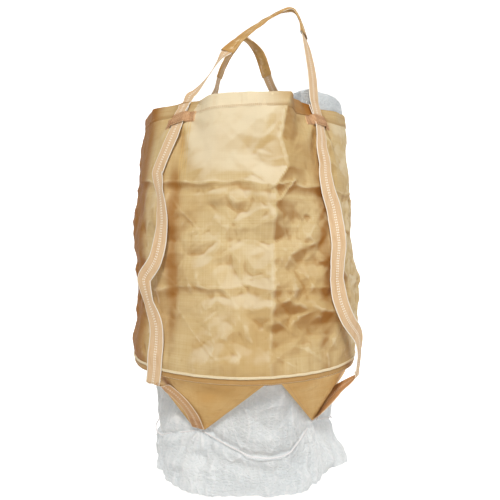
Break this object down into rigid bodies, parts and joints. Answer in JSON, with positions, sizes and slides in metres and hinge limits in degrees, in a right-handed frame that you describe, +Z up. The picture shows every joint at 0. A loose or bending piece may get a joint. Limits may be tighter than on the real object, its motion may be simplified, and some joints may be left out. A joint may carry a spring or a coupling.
{
  "type": "bulk bag",
  "caption": "Empty flexible bulk container hung by two sleeved webbing loops, with loose side straps, triangular bottom flaps, a closing cord and a white full-width discharge skirt.",
  "frame": {"origin": "the lifting point: the height of the two hooks, midway between the loops", "axes": "+Z up along the hanging bag, +X to the bag's right seen from the front, +Y from front to back"},
  "size_m": [1.1028, 1.1046, 2.2414],
  "materials": {
    "tube_fabric": "woven, slight sheen",
    "flap_fabric": "woven, slight sheen",
    "seam_binding": "folded hem with two stitch lines",
    "webbing": "ribbed webbing",
    "anchor_band": "close brown stitching",
    "sleeve_fabric": "woven, creased",
    "skirt_fabric": "thin, crinkled, translucent",
    "thread": "sewing thread",
    "cord": "twisted cord"
  },
  "bodies": {
    "bag": {"body_tube": "tube_fabric", "top_hem": "tube_fabric", "bottom_seam": "seam_binding", "discharge_skirt": "skirt_fabric", "filling_skirt": "skirt_fabric", "closing_cord": "cord", "front_left_strap": "webbing", "front_right_strap": "webbing", "rear_right_strap": "webbing", "rear_left_strap": "webbing", "front_left_anchor_band": "anchor_band", "front_right_anchor_band": "anchor_band", "rear_right_anchor_band": "anchor_band", "rear_left_anchor_band": "anchor_band"},
    "front_loop": {"front_loop_webbing": "webbing", "front_loop_sleeve": "sleeve_fabric"},
    "rear_loop": {"rear_loop_webbing": "webbing", "rear_loop_sleeve": "sleeve_fabric"},
    "front_left_flap_body": {"front_left_flap": "flap_fabric", "front_left_strap_tail": "webbing", "front_left_tip_stitch": "thread"},
    "front_right_flap_body": {"front_right_flap": "flap_fabric", "front_right_strap_tail": "webbing", "front_right_tip_stitch": "thread"},
    "rear_right_flap_body": {"rear_right_flap": "flap_fabric", "rear_right_strap_tail": "webbing", "rear_right_tip_stitch": "thread"},
    "rear_left_flap_body": {"rear_left_flap": "flap_fabric", "rear_left_strap_tail": "webbing", "rear_left_tip_stitch": "thread"}
  },
  "joints": [
    {"name": "front_loop_swing", "type": "hinge", "parent": "bag", "child": "front_loop", "pos_m": [0, -0.3, -0.46], "axis": [1, 0, 0], "range_deg": [0, 90]},
    {"name": "rear_loop_swing", "type": "hinge", "parent": "bag", "child": "rear_loop", "pos_m": [0, 0.29, -0.46], "axis": [-1, 0, 0], "range_deg": [0, 90]},
    {"name": "front_left_flap_fold", "type": "hinge", "parent": "bag", "child": "front_left_flap_body", "pos_m": [-0.26496, -0.42402, -1.65], "axis": [0.848, -0.5299, 0], "range_deg": [0, 68], "deforming": ["discharge_skirt", "closing_cord"]},
    {"name": "front_right_flap_fold", "type": "hinge", "parent": "bag", "child": "front_right_flap_body", "pos_m": [0.42402, -0.26496, -1.65], "axis": [0.5299, 0.848, 0], "range_deg": [0, 68]},
    {"name": "rear_right_flap_fold", "type": "hinge", "parent": "bag", "child": "rear_right_flap_body", "pos_m": [0.26496, 0.42402, -1.65], "axis": [-0.848, 0.5299, 0], "range_deg": [0, 68]},
    {"name": "rear_left_flap_fold", "type": "hinge", "parent": "bag", "child": "rear_left_flap_body", "pos_m": [-0.42402, 0.26496, -1.65], "axis": [-0.5299, -0.848, 0], "range_deg": [0, 68]}
  ],
  "couplings": [
    {"joint": "front_right_flap_fold", "follows": "front_left_flap_fold", "ratio": 1},
    {"joint": "rear_right_flap_fold", "follows": "front_left_flap_fold", "ratio": 1},
    {"joint": "rear_left_flap_fold", "follows": "front_left_flap_fold", "ratio": 1}
  ]
}
